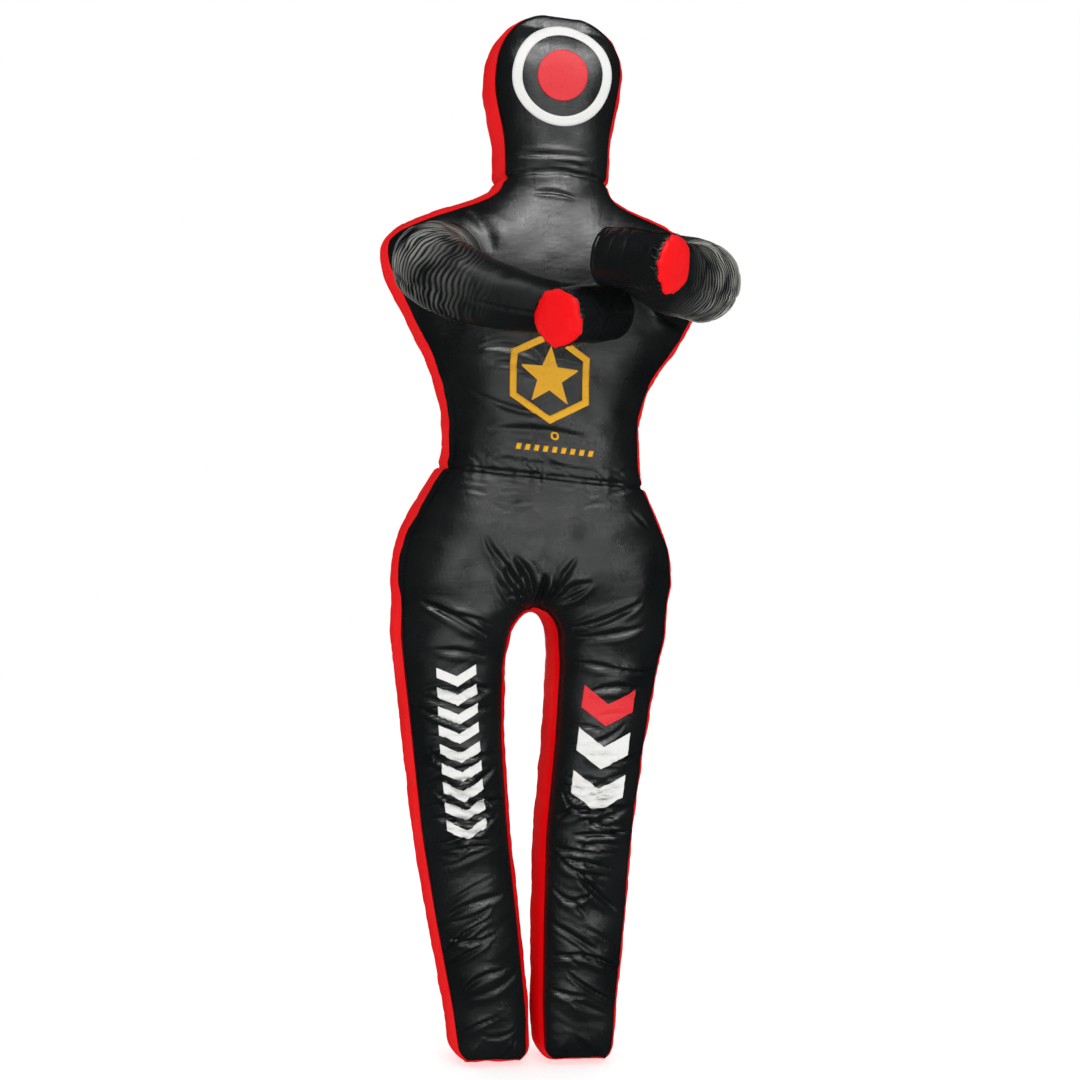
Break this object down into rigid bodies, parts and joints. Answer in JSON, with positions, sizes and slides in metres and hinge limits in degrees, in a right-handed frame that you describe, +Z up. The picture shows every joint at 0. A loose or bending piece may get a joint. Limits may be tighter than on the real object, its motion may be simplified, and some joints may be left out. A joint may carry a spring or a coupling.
{
  "type": "grappling dummy",
  "caption": "Upright stuffed grappling dummy: flat-fronted head and body, two straight legs, bent tube arms reaching forward with capped hands, red side strips, zip on the back.",
  "frame": {"origin": "bottom centre of the whole figure's box: on the floor plane, midway between the back and the fingertips", "axes": "+Z up from the soles to the crown, facing -Y, the figure's own right side at -X"},
  "size_m": [0.572, 0.5794, 1.7787],
  "materials": {
    "black_leatherette": "black coated fabric, fine woven grain, satin gloss",
    "red_leatherette": "bright red coated fabric, satin gloss",
    "white_print": "white screen print",
    "yellow_print": "yellow screen print",
    "stitch_thread": "heavy black polyester thread",
    "rag_filling": "packed textile offcuts",
    "zip_tape": "black woven tape with moulded teeth",
    "zip_metal": "nickel-plated zinc"
  },
  "bodies": {
    "pelvis": {"hips_front_panel": "black_leatherette", "hips_back_panel": "black_leatherette", "right_hip_gusset": "red_leatherette", "crotch_gusset": "red_leatherette", "left_hip_gusset": "red_leatherette", "hips_filling": "rag_filling", "waist_fold": "black_leatherette", "right_hip_fold": "black_leatherette", "left_hip_fold": "black_leatherette"},
    "right_shin": {"right_shin_front_panel": "black_leatherette", "right_shin_back_panel": "black_leatherette", "right_shin_and_sole_gusset": "red_leatherette", "right_shin_filling": "rag_filling"},
    "right_thigh": {"right_thigh_front_panel": "black_leatherette", "right_thigh_back_panel": "black_leatherette", "right_thigh_outer_gusset": "red_leatherette", "right_thigh_inner_gusset": "red_leatherette", "right_thigh_filling": "rag_filling", "right_knee_fold": "black_leatherette"},
    "torso": {"torso_front_panel": "black_leatherette", "torso_back_panel": "black_leatherette", "right_torso_gusset": "red_leatherette", "left_torso_gusset": "red_leatherette", "torso_filling": "rag_filling", "neck_fold": "black_leatherette", "back_zip_tape": "zip_tape", "right_shoulder_fold": "black_leatherette", "left_shoulder_fold": "black_leatherette"},
    "head": {"head_front_panel": "black_leatherette", "head_back_panel": "black_leatherette", "head_gusset": "red_leatherette", "head_filling": "rag_filling"},
    "left_shin": {"left_shin_front_panel": "black_leatherette", "left_shin_back_panel": "black_leatherette", "left_shin_and_sole_gusset": "red_leatherette", "left_shin_filling": "rag_filling"},
    "left_thigh": {"left_thigh_front_panel": "black_leatherette", "left_thigh_back_panel": "black_leatherette", "left_thigh_inner_gusset": "red_leatherette", "left_thigh_outer_gusset": "red_leatherette", "left_thigh_filling": "rag_filling", "left_knee_fold": "black_leatherette"},
    "zip_slider": {"back_zip_slider": "zip_metal"},
    "zip_pull": {"back_zip_pull": "zip_metal"},
    "right_upper_arm": {"right_upper_arm_sleeve": "black_leatherette", "right_upper_arm_filling": "rag_filling", "right_elbow_fold": "black_leatherette"},
    "right_forearm": {"right_forearm_sleeve": "black_leatherette", "right_forearm_and_hand_filling": "rag_filling", "right_hand_cover": "black_leatherette", "right_hand_cap": "red_leatherette"},
    "left_upper_arm": {"left_upper_arm_sleeve": "black_leatherette", "left_upper_arm_filling": "rag_filling", "left_elbow_fold": "black_leatherette"},
    "left_forearm": {"left_forearm_sleeve": "black_leatherette", "left_forearm_and_hand_filling": "rag_filling", "left_hand_cover": "black_leatherette", "left_hand_cap": "red_leatherette"}
  },
  "joints": [
    {"name": "waist_bend", "type": "hinge", "parent": "pelvis", "child": "torso", "pos_m": [-0.00266, 0.17443, 1.05], "axis": [1, 0, 0], "range_deg": [-15, 35], "deforming": ["waist_fold"]},
    {"name": "neck_nod", "type": "hinge", "parent": "torso", "child": "head", "pos_m": [-0.00266, 0.17443, 1.525], "axis": [1, 0, 0], "range_deg": [-20, 30], "deforming": ["neck_fold"]},
    {"name": "right_hip_bend", "type": "hinge", "parent": "pelvis", "child": "right_thigh", "pos_m": [-0.00266, 0.17443, 0.755], "axis": [1, 0, 0], "range_deg": [-60, 10], "deforming": ["right_hip_fold"]},
    {"name": "right_knee_bend", "type": "hinge", "parent": "right_thigh", "child": "right_shin", "pos_m": [-0.00266, 0.17443, 0.43], "axis": [1, 0, 0], "range_deg": [0, 60], "deforming": ["right_knee_fold"]},
    {"name": "left_hip_bend", "type": "hinge", "parent": "pelvis", "child": "left_thigh", "pos_m": [-0.00266, 0.17443, 0.755], "axis": [1, 0, 0], "range_deg": [-60, 10], "deforming": ["left_hip_fold"]},
    {"name": "left_knee_bend", "type": "hinge", "parent": "left_thigh", "child": "left_shin", "pos_m": [-0.00266, 0.17443, 0.43], "axis": [1, 0, 0], "range_deg": [0, 60], "deforming": ["left_knee_fold"]},
    {"name": "right_arm_lower", "type": "hinge", "parent": "torso", "child": "right_upper_arm", "pos_m": [-0.00266, 0.06243, 1.346], "axis": [-1, 0, 0], "range_deg": [-30, 0], "deforming": ["right_shoulder_fold"]},
    {"name": "left_arm_raise", "type": "hinge", "parent": "torso", "child": "left_upper_arm", "pos_m": [-0.00266, 0.06243, 1.346], "axis": [-1, 0, 0], "range_deg": [0, 35], "deforming": ["left_shoulder_fold"]},
    {"name": "right_elbow_open", "type": "hinge", "parent": "right_upper_arm", "child": "right_forearm", "pos_m": [-0.20266, -0.01557, 1.34], "axis": [0, 0, 1], "range_deg": [-50, 0], "deforming": ["right_elbow_fold"]},
    {"name": "left_elbow_open", "type": "hinge", "parent": "left_upper_arm", "child": "left_forearm", "pos_m": [0.20934, -0.02557, 1.335], "axis": [0, 0, 1], "range_deg": [0, 50], "deforming": ["left_elbow_fold"]},
    {"name": "back_zip_run", "type": "slide", "parent": "torso", "child": "zip_slider", "axis": [0, 0, -1], "range_m": [0, 0.2]},
    {"name": "zip_pull_swing", "type": "hinge", "parent": "zip_slider", "child": "zip_pull", "pos_m": [-0.00266, 0.28693, 1.351], "axis": [1, 0, 0], "range_deg": [0, 150]}
  ]
}
